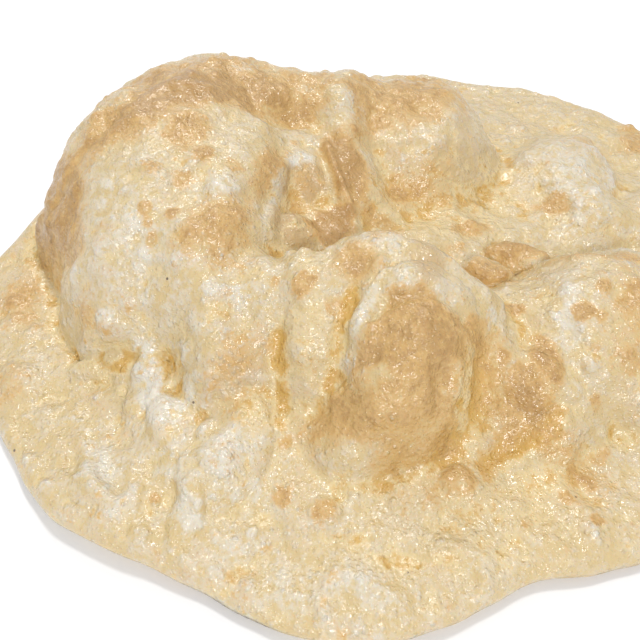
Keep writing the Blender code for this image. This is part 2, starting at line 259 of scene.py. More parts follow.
# Small blisters all over: spacing, smallest and largest radius, share of places taken, rise, seed.
SMALL_BLISTERS = (
    (0.017, 0.0032, 0.0062, 0.5, 0.0012, 100),
    (0.0095, 0.0016, 0.0036, 0.6, 0.0011, 101),
    (0.0048, 0.001, 0.002, 0.65, 0.00062, 102),
    (0.0027, 0.0008, 0.0013, 0.65, 0.00028, 103),
)
# Where each one may sit in its own cell of space, along each axis, and how steep its side is.
SMALL_BLISTER_PLACES = (0.15, 0.85)
SMALL_BLISTER_STEEP = 0.8
# Uneven skin between them: size of the lumps, how far they reach, seed.
SKIN_LUMPS = (
    (0.011, 0.0007, 111),
    (0.005, 0.00045, 112),
    (0.0024, 0.00024, 113),
)
# Ridges of crumpled skin.
CRINKLE_SIZE = 0.01
CRINKLE_REACH = 0.0004
CRINKLE_SHARPNESS = 3.0
CRINKLE_SEED = 131
# Rounds of smoothing, for the way that small relief is pushed out, to find broad hollows, and to find
# the small relief's own dips and rises.
PUSH_ROUNDS = 8
HOLLOW_ROUNDS = 60
RELIEF_ROUNDS = 24
# Small relief sets in over this share of the way in from the rim.
CALM_RIM = 0.03

# The underside's dents: their depth, and the noise that makes them, by size, share and seed.
DENT_DEPTH = 0.0012
DENTS = ((0.022, 1.0, 61), (0.009, 0.5, 62))
# The underside's rings: how many of the rim's points go to one of theirs, and shares of the way out.
UNDERSIDE_RINGS = (
    (2, (0.995, 0.985, 0.97, 0.95, 0.93, 0.90, 0.87, 0.84, 0.80, 0.76, 0.72)),
    (4, (0.68, 0.63, 0.58, 0.53, 0.48, 0.43, 0.38, 0.33)),
    (8, (0.28, 0.23, 0.18, 0.13)),
    (16, (0.09, 0.05)),
)
# The UV map: the top skin fills its left part, and the underside lies at the lower right.
TOP_MAP_CORNER = 0.005
TOP_MAP_WIDTH = 0.69
TOP_MAP_HEIGHT = 0.99
UNDER_MAP_MIDDLE = (0.85, 0.15)
UNDER_MAP_SCALE = 0.28 / 0.27


class Patch(NamedTuple):
    """A patch of colour on the skin: an oval in plan, its strength, and how soft its edge is."""

    x: float
    y: float
    half_long: float
    half_short: float
    turn: float
    strength: float
    softness: float


BROWNED = (
    # Over the dome's top from its left shoulder to the saddle, and down its left flank.
    Patch(-0.049, 0.03, 0.036, 0.01, 28, 1.0, 0.5),
    Patch(-0.071, 0.013, 0.018, 0.009, 35, 0.95, 0.6),
    Patch(-0.03, 0.034, 0.016, 0.007, 24, 0.75, 0.5),
    Patch(-0.055, 0.007, 0.0075, 0.0055, 80, 0.8, 0.8),
    Patch(-0.091, -0.002, 0.02, 0.007, -65, 0.95, 0.5),
    Patch(-0.096, -0.004, 0.0125, 0.006, -62, 1.0, 0.4),
    # Faint blotches on its face, and a band beside the ridge.
    Patch(-0.043, -0.024, 0.009, 0.007, 60, 0.95, 0.9),
    Patch(-0.033, 0.0, 0.014, 0.003, 70, 0.8, 0.6),
    Patch(-0.038, -0.054, 0.008, 0.007, 70, 0.35, 0.8),
    Patch(-0.079, -0.037, 0.004, 0.0025, -56, 0.45, 0.7),
    # The lobe at the back, the skin that drapes from it, and the valley.
    Patch(0.008, 0.046, 0.021, 0.012, 18, 0.8, 0.5),
    Patch(-0.004, 0.032, 0.013, 0.005, 68, 0.7, 0.8),
    Patch(-0.011, 0.013, 0.013, 0.006, -74, 1.3, 0.5),
    Patch(-0.0145, -0.0075, 0.0075, 0.0055, 43, 1.3, 0.3),
    Patch(-0.001, 0.0, 0.008, 0.003, -22, 0.65, 0.5),
    Patch(0.01, 0.014, 0.014, 0.01, 10, 0.42, 0.9),
    Patch(-0.0225, 0.001, 0.009, 0.005, 60, 0.42, 0.8),
    Patch(0.005, 0.013, 0.004, 0.0035, 70, 0.8, 0.4),
    Patch(0.027, 0.002, 0.007, 0.003, 19, 0.65, 0.4),
    Patch(0.019, -0.01, 0.005, 0.0025, 31, 0.45, 0.5),
    Patch(0.057, 0.016, 0.0065, 0.004, -30, 0.6, 0.4),
    # The middle lobe's shoulder.
    Patch(-0.01, -0.038, 0.006, 0.0045, -41, 0.95, 0.7),
    # The blister that hangs over the front, its lower end, its right side, and the brim below it.
    Patch(0.009, -0.079, 0.012, 0.006, 22, 0.45, 0.9),
    Patch(0.003, -0.0578, 0.012, 0.0095, 11, 0.88, 0.25),
    Patch(-0.001, -0.069, 0.0125, 0.0045, 7, 0.8, 0.35),
    Patch(-0.0095, -0.0685, 0.0115, 0.005, -13, 0.85, 0.6),
    Patch(0.003, -0.073, 0.0115, 0.002, 17, 0.7, 0.5),
    Patch(0.017, -0.052, 0.0045, 0.0025, 54, 0.8, 0.4),
    # The two small blisters behind it.
    Patch(0.027, -0.022, 0.007, 0.0045, -6, 0.7, 0.6),
    Patch(0.039, -0.011, 0.008, 0.0055, -3, 1.1, 0.6),
    # The mound's fold, its right side, and its left slope.
    Patch(0.056, -0.024, 0.014, 0.003, -12, 0.8, 0.6),
    Patch(0.058, -0.043, 0.0125, 0.005, 75, 0.7, 0.9),
    Patch(0.035, -0.055, 0.006, 0.004, -80, 0.9, 0.6),
    Patch(0.03, -0.06, 0.006, 0.005, -19, 0.8, 0.7),
    Patch(0.0215, -0.057, 0.011, 0.0055, -60, 0.55, 0.9),
    Patch(0.029, -0.0645, 0.008, 0.004, 40, 0.65, 0.8),
    Patch(0.036, -0.071, 0.006, 0.0015, 8, 0.5, 0.8),
    Patch(0.041, -0.073, 0.008, 0.005, -30, 0.45, 0.9),
    Patch(0.068, -0.042, 0.014, 0.011, 0, 0.32, 0.9),
    Patch(0.0525, -0.05, 0.0095, 0.006, 82, 0.28, 0.9),
    # Behind the dome and the lobe at the back, and on the mound's far side.
    Patch(-0.06, 0.042, 0.032, 0.01, 30, 0.75, 0.9),
    Patch(-0.096, 0.02, 0.014, 0.006, 65, 0.6, 0.9),
    Patch(-0.018, 0.064, 0.026, 0.008, 4, 0.7, 0.9),
    Patch(0.02, 0.064, 0.014, 0.008, -25, 0.75, 0.9),
    Patch(0.092, -0.03, 0.012, 0.008, -70, 0.55, 0.9),
    Patch(0.104, 0.012, 0.007, 0.01, 10, 0.5, 0.9),
    Patch(0.078, 0.052, 0.009, 0.006, 40, 0.5, 0.9),
    # The brim behind, on the left, and behind on the right.
    Patch(-0.085, 0.062, 0.01, 0.005, 40, 0.45, 0.9),
    Patch(-0.03, 0.096, 0.014, 0.006, 8, 0.55, 0.9),
    Patch(0.03, 0.1, 0.011, 0.006, -10, 0.5, 0.9),
    Patch(0.107, -0.048, 0.01, 0.005, 68, 0.5, 0.9),
    Patch(-0.104, -0.021, 0.011, 0.006, -68, 0.55, 0.8),
    Patch(-0.098, -0.05, 0.008, 0.004, -67, 0.5, 0.8),
    Patch(0.1, 0.066, 0.0135, 0.005, 61, 0.6, 0.6),
)
PALE = (
    # A strip on the dome's top, a streak on its left flank, and its face.
    Patch(-0.047, 0.043, 0.0085, 0.0025, 22, 0.8, 0.4),
    Patch(-0.089, -0.006, 0.006, 0.0015, -83, 0.8, 0.4),
    Patch(-0.066, -0.026, 0.013, 0.009, -77, 0.5, 0.8),
    Patch(-0.045, -0.013, 0.0075, 0.006, -35, 0.5, 0.8),
    Patch(-0.041, -0.041, 0.0085, 0.0065, 13, 0.45, 0.8),
    Patch(-0.05, -0.033, 0.015, 0.009, -10, 0.45, 0.9),
    Patch(-0.071, -0.035, 0.013, 0.007, -15, 0.45, 0.9),
    Patch(-0.039, -0.055, 0.009, 0.006, 40, 0.5, 0.9),
    # The top of the valley's wall, and the ridge beside it.
    Patch(-0.024, 0.01, 0.005, 0.0025, 45, 0.9, 0.5),
    Patch(-0.031, -0.008, 0.012, 0.0015, 80, 0.6, 0.5),
    # Painted light: paler on the ridge's face, which the lamps leave in shade.
    Patch(-0.03, 0.001, 0.009, 0.0018, 76, 0.4, 0.8),
    Patch(-0.012, 0.006, 0.0127, 0.0011, -70, 0.7, 0.4),
    # The middle lobe's rim, the fold down its face, and the pillow beside it.
    Patch(-0.006, -0.033, 0.01, 0.003, -11, 0.45, 0.6),
    Patch(0.006, -0.044, 0.0065, 0.0055, -36, 0.55, 0.7),
    Patch(-0.007, -0.048, 0.0115, 0.0017, 64, 0.5, 0.6),
    Patch(-0.021, -0.055, 0.0065, 0.0045, -78, 0.12, 0.9),
    Patch(-0.011, -0.059, 0.005, 0.0025, -54, 0.55, 0.6),
    # Streaks on the back lobe, and the white lobe in the basin.
    Patch(0.01, 0.024, 0.0155, 0.0025, 19, 0.35, 0.6),
    Patch(-0.007, 0.035, 0.008, 0.004, -27, 0.6, 0.6),
    Patch(0.066, 0.029, 0.022, 0.0145, 66, 0.5, 0.7),
    # The pillows in front of the dome.
    Patch(-0.061, -0.052, 0.01, 0.0045, -68, 1.0, 0.6),
    Patch(-0.054, -0.06, 0.01, 0.005, -85, 0.8, 0.6),
    Patch(-0.039, -0.074, 0.01, 0.007, -81, 0.6, 0.7),
    Patch(-0.047, -0.086, 0.0045, 0.003, -65, 0.75, 0.5),
    Patch(-0.068, -0.075, 0.0115, 0.004, -54, 0.6, 0.7),
    Patch(-0.046, -0.068, 0.022, 0.013, -50, 0.4, 0.8),
    # The mound's crest, and the brim in front.
    Patch(-0.032, -0.097, 0.022, 0.008, -12, 0.3, 0.9),
    Patch(0.042, -0.042, 0.0095, 0.003, 82, 0.65, 0.6),
    Patch(0.022, -0.047, 0.0025, 0.0015, 73, 0.7, 0.5),
    Patch(-0.009, -0.102, 0.009, 0.006, 0, 0.45, 0.8),
)
# Soaked with oil, and amber as painted shade and glow in creases, grooves and hollows.
SOAKED_AND_SHADED = (
    # Painted shade under the dome's foot, and down the grooves of the middle lobe.
    Patch(-0.073, -0.046, 0.0105, 0.002, -10, 0.6, 0.9),
    Patch(-0.035, -0.063, 0.005, 0.004, -10, 0.5, 0.9),
    Patch(-0.027, -0.056, 0.008, 0.0018, -89, 0.75, 0.9),
    Patch(-0.016, -0.057, 0.004, 0.0015, 90, 0.6, 0.8),
    Patch(-0.011, -0.046, 0.005, 0.002, 75, 0.85, 0.5),
    Patch(-0.0215, -0.054, 0.009, 0.004, -80, 0.35, 0.9),
    # Between the brown blister and the mound, and at the mound's foot: painted glow and shade in the
    # hollow, with oil.
    Patch(0.018, -0.06, 0.01, 0.005, 65, 0.85, 0.8),
    Patch(0.011, -0.071, 0.006, 0.003, 41, 0.65, 0.6),
    Patch(0.03, -0.068, 0.01, 0.003, 30, 1.5, 0.8),
    Patch(0.031, -0.044, 0.003, 0.0013, 74, 0.7, 0.5),
    Patch(0.035, -0.063, 0.004, 0.002, 90, 0.75, 0.5),
    # The brim on the right, speckled in front of the mound.
    Patch(0.05, -0.082, 0.04, 0.016, 20, 0.08, 0.8),
    Patch(0.034, -0.077, 0.01, 0.005, 20, 0.6, 0.9),
    Patch(0.018, -0.083, 0.022, 0.01, 8, 0.35, 0.9),
    # The basin's floor, streaks on the front brim, and the crease at the dome's left end.
    Patch(0.015, 0.007, 0.0315, 0.013, 23, 0.45, 0.9),
    Patch(-0.0025, -0.0955, 0.006, 0.0016, 0, 0.7, 0.9),
    Patch(0.008, -0.095, 0.004, 0.001, 4, 0.65, 0.9),
    Patch(-0.012, -0.091, 0.0055, 0.001, 9, 0.45, 0.6),
    Patch(-0.031, -0.087, 0.002, 0.0015, -8, 0.75, 0.5),
    Patch(-0.09, -0.014, 0.011, 0.0025, -52, 0.5, 0.6),
)
# Painted shade: greyish on faces turned away from the light.
PAINTED_SHADE = (
    # Painted shade on the valley's wall, the middle lobe's right flank, the back lobe's front, and the
    # dome's foot.
    Patch(-0.022, 0.002, 0.01, 0.006, 57, 1.0, 0.5),
    Patch(-0.025, -0.011, 0.008, 0.0055, 60, 0.85, 0.6),
    Patch(0.007, -0.04, 0.0085, 0.0055, 89, 0.65, 0.5),
    Patch(0.027, 0.028, 0.0175, 0.0085, 41, 0.45, 0.7),
    Patch(-0.038, -0.055, 0.0075, 0.0065, 38, 0.6, 0.8),
)
# Round brown spots: place, radius and strength.
SPOTS = (
    # On the dome's face.
    (-0.049, -0.001, 0.0028, 1.01),
    (-0.041, -0.004, 0.0024, 0.68),
    (-0.062, -0.008, 0.0024, 0.68),
    (-0.054, -0.01, 0.0026, 0.74),
    (-0.062, -0.02, 0.0018, 0.94),
    (-0.061, -0.023, 0.0016, 0.81),
    (-0.055, -0.021, 0.0019, 0.81),
    (-0.06, -0.027, 0.0017, 0.81),
    # On the middle lobe.
    (-0.022, -0.042, 0.0028, 0.94),
    (-0.029, -0.039, 0.0013, 0.68),
    (-0.015, -0.047, 0.0022, 0.81),
    # On the mound and down its slope.
    (0.045, -0.043, 0.0027, 1.08),
    (0.051, -0.037, 0.002, 0.81),
    (0.049, -0.045, 0.0016, 0.74),
    (0.047, -0.051, 0.0014, 0.68),
    (0.047, -0.061, 0.0016, 0.81),
    (0.055, -0.054, 0.0026, 0.74),
    (0.031, -0.038, 0.002, 1.08),
    (0.025, -0.053, 0.0016, 1.08),
    # On the brim in front.
    (-0.027, -0.082, 0.002, 0.74),
    (-0.055, -0.082, 0.0014, 0.94),
    (-0.017, -0.085, 0.0025, 0.81),
    (0.048, -0.071, 0.0016, 0.74),
    (0.013, -0.078, 0.0042, 0.8),
    (0.037, -0.081, 0.0016, 0.81),
    (0.044, -0.077, 0.0018, 0.81),
    (0.042, -0.087, 0.0014, 0.74),
    (0.027, -0.087, 0.0013, 0.74),
    (0.049, -0.069, 0.0018, 0.81),
)

# How far the round spots stand out, how they fray, how much fainter they are inside, and between
# which shares of their radius that inside and their edge fade.
SPOT_RISE = 0.0004
SPOT_FRAYS = ((0.003, 0.3, 55),)
SPOT_FAINTNESS = 0.3
SPOT_INSIDE = (0.1, 0.8)
SPOT_EDGE = (0.5, 1.5)
# The noise that frays the patches' edges: size, reach as a share of the patch, and seed.
PATCH_FRAYS = ((0.009, 0.3, 51), (0.0035, 0.22, 52))
# Drifts of browning all over the top, and the underside's tone with its own: size, share and seed.
DRIFTS = ((0.022, 0.16, 121), (0.009, 0.2, 122))
UNDERSIDE_TONE = 0.35
UNDERSIDE_DRIFTS = ((0.03, 0.45, 63), (0.01, 0.2, 64))


class Tint(NamedTuple):
    """An amount of colour that sets in as a measure of the relief goes from low to high."""

    amount: float
    low: float
    high: float


# Broad hollows and small dips take painted shade and glow along with oil, and small rises are pale.
HOLLOW_SHADE_AND_OIL = Tint(0.6, 0.0002, 0.0016)
DIP_SHADE_AND_OIL = Tint(0.5, 0.0, 0.0005)
RISE_PALE = Tint(0.4, 0.0, 0.0007)
# Small blisters brown towards their tops, those of them whose own chance is high.
TOP_BROWN = Tint(0.40, 0.25, 0.80)
TOP_CHANCE = (0.75, 0.95)

YELLOW_CREAM = (0.628, 0.482, 0.247)
LIGHT_CREAM = (0.655, 0.568, 0.423)
WHITE = (0.68, 0.63, 0.53)
# The grey of painted shade.
SHADE_GREY = (0.52, 0.368, 0.185)
BUTTER = (0.720, 0.570, 0.310)
AMBER = (0.62, 0.385, 0.105)
GOLDEN = (0.61, 0.380, 0.135)
BROWN = (0.44, 0.257, 0.088)
SPECK = (0.10, 0.065, 0.045)

# The dough's mottling: the size of each pattern of noise, its detail and its roughness.
MOTTLING = {
    "broad": (0.013, 3.0, 0.55),
    "middle": (0.0052, 3.0, 0.6),
    "fine": (0.0021, 3.0, 0.6),
    "grain": (0.0008, 2.0, 0.6),
}
# Its froth of tiny domes: their spacing, and their radius as a share of that. The larger two are full
# where the middle mottling is high, and sparse where it is low.
FROTH = {"large": 0.0026, "small": 0.0014, "tiny": 0.0008}
DOME_REACH = 0.5
CROWDED = (-0.5, 0.6)
SPARSE = 0.35
# How much of each pattern and painted attribute goes into each amount.
MIXES = {
    "cream": {"broad": 0.32, "middle": 0.42, "fine": 0.55, "grain": 0.25, "steady": 0.45},
    # The froth's large and small domes also lighten the colour at their tops: painted highlights.
    "white": {"pale": 1.0, "middle": 0.24, "fine": 0.30, "large": 0.30, "small": 0.25},
    # Painted shade, with a little mottling.
    "shading": {"painted_shade": 1.0, "middle": 0.15, "fine": 0.10},
    "oil_and_shade": {"soaked_and_shaded": 1.0, "broad": 0.10, "middle": 0.34, "fine": 0.32},
    "toast": {
        "browned": 1.0, "broad": 0.12, "middle": 0.28, "fine": 0.30, "grain": 0.20,
        # Less toast on the froth's large and small domes: painted highlights on their tops.
        "large": -0.25, "small": -0.30, "steady": 0.10,
    },
    "dullness": {"middle": 0.3, "fine": 0.3, "wet": -0.4},
    "wrinkles": {"middle": 0.6, "fine": 0.2},
    "blisters": {"large": 0.22, "small": 0.17, "tiny": 0.09, "grain": 0.02},
}


class Layer(NamedTuple):
    """A colour laid over those before it, up to its most, as an amount goes from low to high."""

    amount: str
    low: float
    high: float
    most: float
    colour: tuple


# The range of oil and painted shade over which the skin turns buttery, and glossy with it.
WET = (0.10, 0.60)
LAYERS = (
    Layer("cream", 0.05, 0.95, 1.0, LIGHT_CREAM),
    Layer("white", 0.15, 0.85, 1.0, WHITE),
    # The grey of painted shade.
    Layer("shading", 0.15, 0.80, 0.95, SHADE_GREY),
    # Buttery and amber where oiled, and amber as painted shade and glow in creases and hollows.
    Layer("oil_and_shade", *WET, 1.0, BUTTER),
    Layer("oil_and_shade", 0.50, 1.05, 1.0, AMBER),
    Layer("toast", 0.10, 0.80, 0.9, GOLDEN),
    Layer("toast", 0.60, 1.30, 0.9, BROWN),
)
# Tiny dark specks: their spacing, their edge and core as shares of it, and their strength.
SPECK_SPACING = 0.012
SPECK_EDGE = 0.036
SPECK_CORE = 0.022
SPECK_STRENGTH = 0.85

# The skin's roughness, over its range of dullness.
DULLNESS = (-0.6, 0.5)
ROUGHNESS = (0.32, 0.58)
# How deep the bumps of the wrinkles and of the froth are.
WRINKLE_DEPTH = 0.00025
FROTH_DEPTH = 0.0014
# Light that sinks into the dough, and the film of oil on it.
SUBSURFACE_WEIGHT = 0.20
SUBSURFACE_RADIUS = (0.0030, 0.0017, 0.0007)
SUBSURFACE_SCALE = 1.0
OIL_WEIGHT = 0.60
OIL_ROUGHNESS = 0.12

# The stage, its lights by name, place, width and watts, and the camera.
FLOOR_COLOUR = (0.92, 0.92, 0.93)
FLOOR_ROUGHNESS = 0.8
FLOOR_SIZE = 3.0
LIGHTS = (
    ("window", (-0.30, 0.85, 0.85), 0.14, 2.8),
    ("lamp", (0.12, 0.35, 1.10), 0.14, 4.3),
    ("fill", (0.0, -1.0, 0.8), 0.30, 7.4),
)
WORLD_COLOUR = (1.0, 1.0, 1.0)
WORLD_STRENGTH = 0.53
CAMERA_PLACE = (-0.02085, -0.15044, 0.140)
CAMERA_TILT = 42.0
CAMERA_LENS = 36.0
SENSOR = 36.0


def eased(share):
    """A share from 0 to 1 that sets out and comes in gently, as noise needs between its cells."""
    return share**3 * (share * (6.0 * share - 15.0) + 10.0)


def noise(x, y, size, seed):
    """Smooth noise from about -1 to 1, with lumps about one size across."""
    slopes = np.random.default_rng(seed).uniform(0.0, 2.0 * math.pi, (NOISE_CELLS, NOISE_CELLS))
    across = x / size + NOISE_CELLS / 2
    along = y / size + NOISE_CELLS / 2
    column = np.floor(across).astype(int)
    row = np.floor(along).astype(int)
    u = across - column
    v = along - row

    def corner(right, up):
        angle = slopes[(column + right) % NOISE_CELLS, (row + up) % NOISE_CELLS]
        return np.cos(angle) * (u - right) + np.sin(angle) * (v - up)

    low = corner(0, 0) + eased(u) * (corner(1, 0) - corner(0, 0))
    high = corner(0, 1) + eased(u) * (corner(1, 1) - corner(0, 1))
    return NOISE_GAIN * (low + eased(v) * (high - low))


def layered_noise(layers, x, y):
    """Layers of noise in plan, each with its size, reach and seed, added up."""
    return sum(reach * noise(x, y, size, seed) for size, reach, seed in layers)


def smooth_max(first, second, blend):
    """The higher of two heights, rounded where they cross."""
    overlap = np.maximum(blend - np.abs(first - second), 0.0)
    return np.maximum(first, second) + overlap**2 / (4.0 * blend)


def smooth_step(value, low, high):
    """0 up to the low value, 1 from the high one, and an easy curve between them."""
    share = np.clip((value - low) / (high - low), 0.0, 1.0)
    return share * share * (3.0 - 2.0 * share)


def outline_radius(angle):
    """The outline's radius at an angle in radians, on a smooth closed curve with a fine ripple."""
    knots = np.array([radius for _, radius in OUTLINE])
    degrees = np.array([float(turn) for turn, _ in OUTLINE])
    count = len(knots)
    turned = np.degrees(angle) % 360.0
    after = np.searchsorted(degrees, turned, side="right") % count
    before = (after - 1) % count
    span = (degrees[after] - degrees[before]) % 360.0
    share = ((turned - degrees[before]) % 360.0) / span
    first = knots[(before - 1) % count]
    last = knots[(after + 1) % count]
    start = 0.5 * (knots[after] - first)
    end = 0.5 * (last - knots[before])
    square = share * share
    cube = square * share
    smooth = (
        (2 * cube - 3 * square + 1) * knots[before]
        + (cube - 2 * square + share) * start
        + (3 * square - 2 * cube) * knots[after]
        + (cube - square) * end
    )
    return smooth + EDGE_RIPPLE * rim_noise(angle, RIPPLE_SIZE, RIPPLE_SEED)


def rim_noise(angle, size, seed):
    """Noise along the rim, by its angle in radians."""
    return noise(MEAN_RADIUS * np.cos(angle), MEAN_RADIUS * np.sin(angle), size, seed)


def oval_shares(shape, x, y):
    """A point's place on an oval, as shares of its long and short halves."""
    turn = math.radians(shape.turn)
    across = x - shape.x
    along = y - shape.y
    long_share = (across * math.cos(turn) + along * math.sin(turn)) / shape.half_long
    short_share = (along * math.cos(turn) - across * math.sin(turn)) / shape.half_short
    return long_share, short_share


def oval_reach(shape, x, y):
    """How far a point lies from an oval's middle, as a share of the way to its edge."""
    return np.hypot(*oval_shares(shape, x, y))


def bubble_height(bubble, x, y):
    """A bubble's height over the table: its crown in the middle, falling to 0 at its edge."""
    long_share, short_share = oval_shares(bubble, x, y)
    fall = 1.0 - np.hypot(long_share, short_share) ** ROUNDNESS
    leaning = np.clip(1.0 + bubble.lean * short_share, 0.0, 2.0)
    return bubble.crown * leaning * np.clip(fall, 0.0, 1.0) ** bubble.steep


def distance_to_line(points, x, y):
    """How far plan points lie from a line of straight runs."""
    nearest = np.full(x.shape, np.inf)
    for (x0, y0), (x1, y1) in zip(points, points[1:]):
        run_x = x1 - x0
        run_y = y1 - y0
        share = ((x - x0) * run_x + (y - y0) * run_y) / (run_x**2 + run_y**2)
        share = np.clip(share, 0.0, 1.0)
        nearest = np.minimum(nearest, np.hypot(x - x0 - share * run_x, y - y0 - share * run_y))
    return nearest


def raised_share(angle):
    """How far the rim is lifted off the table: 1 behind the dome, 0 where the brim lies down."""
    apart = np.abs(np.degrees(angle) % 360.0 - RAISED_MIDDLE)
    return 1.0 - smooth_step(apart, RAISED_FULL, RAISED_END)


def rim_height(angle):
    """Height of the sheet's very edge, where its two skins meet."""
    low = RIM_HEIGHT + RIM_WAVE * rim_noise(angle, RIM_WAVE_SIZE, RIM_WAVE_SEED)
    return low + raised_share(angle) * (RAISED_RIM - low)


def place_on_sheet(x, y):
    """A plan point's share of the way out to the rim, and its angle."""
    angle = np.arctan2(y, x)
    return np.clip(np.hypot(x, y) / outline_radius(angle), 0.0, 1.0), angle


def swollen_height(x, y, share):
    """Height of the top skin before it is rounded off at the rim."""
    warped_x = x
    warped_y = y
    for size, reach, seed in WARPS:
        warped_x = warped_x + reach * noise(x, y, size, seed)
        warped_y = warped_y + reach * noise(x, y, size, seed + 1)
    sheet = MIDDLE_HEIGHT + (BRIM_HEIGHT - MIDDLE_HEIGHT) * smooth_step(share, MIDDLE_TO, BRIM_FROM)
    heights = [sheet] + [bubble_height(bubble, warped_x, warped_y) for bubble in BUBBLES]
    height = sum(one**MERGE_POWER for one in heights) ** (1.0 / MERGE_POWER)
    for blister in BLISTERS:
        fall = np.clip(1.0 - oval_reach(blister, x, y) ** 2, 0.0, 1.0)
        height = height + blister.rise * fall**blister.steep
    for crease in CREASES:
        away = distance_to_line(crease.points, x, y) / crease.width
        height = height - crease.depth * np.exp(-(away**2))
    for size, reach, seed in LUMPS:
        height = height + reach * noise(x, y, size, seed) * (1.0 - LUMPS_LOST_AT_RIM * share**4)
    return height


def top_height(x, y):
    """Height of the top skin, rounded off where it meets the underside at the rim."""
    share, angle = place_on_sheet(x, y)
    rim = rim_height(angle)
    top = smooth_max(swollen_height(x, y, share), rim + EDGE_THICKNESS, RIM_BLEND)
    inward = np.clip((1.0 - share) * MEAN_RADIUS / EDGE_ROUNDING, 0.0, 1.0)
    return rim + (top - rim) * np.sqrt(1.0 - (1.0 - inward) ** 2)


def bottom_height(x, y):
    """Height of the underside: flat on the table, then curving up to the rim."""
    share, angle = place_on_sheet(x, y)
    flat = FLAT_SHARE + (RAISED_FLAT_SHARE - FLAT_SHARE) * raised_share(angle)
    lift = np.clip((share - flat) / (1.0 - flat), 0.0, 1.0)
    return rim_height(angle) * lift**2


def disc_grid(cells):
    """Plan points of a square grid of cells, spread over the outline."""
    steps = np.linspace(-1.0, 1.0, cells + 1)
    u, v = np.meshgrid(steps, steps, indexing="ij")
    disc_x = u * np.sqrt(1.0 - 0.5 * v**2)
    disc_y = v * np.sqrt(1.0 - 0.5 * u**2)
    radius = outline_radius(np.arctan2(disc_y, disc_x))
    return disc_x * radius, disc_y * radius


def slope_share(x, y):
    """How much larger the skin is than its plan round each inner point of a grid."""
    points = np.stack([x, y, top_height(x, y)], axis=-1)
    normals = np.cross(points[1:, :-1] - points[:-1, :-1], points[:-1, 1:] - points[:-1, :-1])
    cells = np.linalg.norm(normals, axis=-1) / np.abs(normals[..., 2])
    spread = np.pad(cells, 1, mode="edge")
    return 0.25 * (spread[1:, 1:] + spread[:-1, 1:] + spread[1:, :-1] + spread[:-1, :-1])


def settled(x, y):
    """Draws a grid's inner points together on slopes, so that the skin is made as finely there."""
    for _ in range(SETTLING_ROUNDS):
        pull = np.minimum(slope_share(x, y), STEEPEST_PULL)
        total = pull[:-2, 1:-1] + pull[2:, 1:-1] + pull[1:-1, :-2] + pull[1:-1, 2:]
        for place in (x, y):
            drawn = pull * place
            middle = drawn[:-2, 1:-1] + drawn[2:, 1:-1] + drawn[1:-1, :-2] + drawn[1:-1, 2:]
            place[1:-1, 1:-1] += SETTLING_PACE * (middle / total - place[1:-1, 1:-1])
    return x, y


def noise_in_space(points, size, seed):
    """Smooth noise from about -1 to 1 at points in space, with lumps about one size across."""
    slopes = np.random.default_rng(seed).normal(size=(SPACE_CELLS, SPACE_CELLS, SPACE_CELLS, 3))
    slopes /= np.linalg.norm(slopes, axis=-1, keepdims=True)
    place = points / size
    cell = np.floor(place).astype(int)
    part = place - cell
    fade = eased(part)
    total = np.zeros(points.shape[:-1])
    for corner in itertools.product((0, 1), repeat=3):
        at = (cell + corner) % SPACE_CELLS
        slope = slopes[at[..., 0], at[..., 1], at[..., 2]]
        weight = np.prod(np.where(corner, fade, 1.0 - fade), axis=-1)
        total += weight * (slope * (part - corner)).sum(axis=-1)
    return SPACE_GAIN * total


def blisters_in_space(points, spacing, smallest, largest, share, seed):
    """Height of small round blisters at points in space, from 0 to 1, and each one's own chance."""
    rng = np.random.default_rng(seed)
    places = rng.uniform(*SMALL_BLISTER_PLACES, (SPACE_CELLS, SPACE_CELLS, SPACE_CELLS, 3))
    chances = rng.uniform(0.0, 1.0, (SPACE_CELLS, SPACE_CELLS, SPACE_CELLS))
    radii = rng.uniform(smallest, largest, (SPACE_CELLS, SPACE_CELLS, SPACE_CELLS))
    cell = np.floor(points / spacing).astype(int)
    height = np.zeros(points.shape[:-1])
    chance = np.zeros(points.shape[:-1])
    for step in itertools.product((-1, 0, 1), repeat=3):
        at = (cell + step) % SPACE_CELLS
        key = (at[..., 0], at[..., 1], at[..., 2])
        middle = (cell + step + places[key]) * spacing
        apart = np.linalg.norm(points - middle, axis=-1) / radii[key]
        one = np.clip(1.0 - apart**2, 0.0, 1.0) ** SMALL_BLISTER_STEEP * radii[key] / largest
        one *= chances[key] < share
        higher = one > height
        height = np.where(higher, one, height)
        chance = np.where(higher, chances[key] / share, chance)
    return height, chance


def grid_normals(points):
    """Unit normals at a grid's points, facing up."""
    along_u = np.gradient(points, axis=0)
    along_v = np.gradient(points, axis=1)
    normals = np.cross(along_u, along_v)
    return normals / np.linalg.norm(normals, axis=-1, keepdims=True)


def blurred(grid, rounds):
    """A grid of points or numbers, with each one averaged a number of times with its neighbours."""
    spread = [(1, 1), (1, 1)] + [(0, 0)] * (grid.ndim - 2)
    for _ in range(rounds):
        wide = np.pad(grid, spread, mode="edge")
        around = wide[:-2, 1:-1] + wide[2:, 1:-1] + wide[1:-1, :-2] + wide[1:-1, 2:]
        grid = 0.2 * (grid + around)
    return grid


def tinted(tint, measure):
    """A tint's amount where a measure of the relief is so high."""
    return tint.amount * smooth_step(measure, tint.low, tint.high)


def patch_cover(patches, x, y):
    """How strongly patches of colour cover plan points, with their edges frayed by noise."""
    frayed = layered_noise(PATCH_FRAYS, x, y)
    cover = np.zeros(x.shape)
    for patch in patches:
        reach = oval_reach(patch, x, y) + frayed
        one = patch.strength * (1.0 - smooth_step(reach, 1.0 - patch.softness, 1.0 + patch.softness))
        cover = np.maximum(cover, one)
    return cover


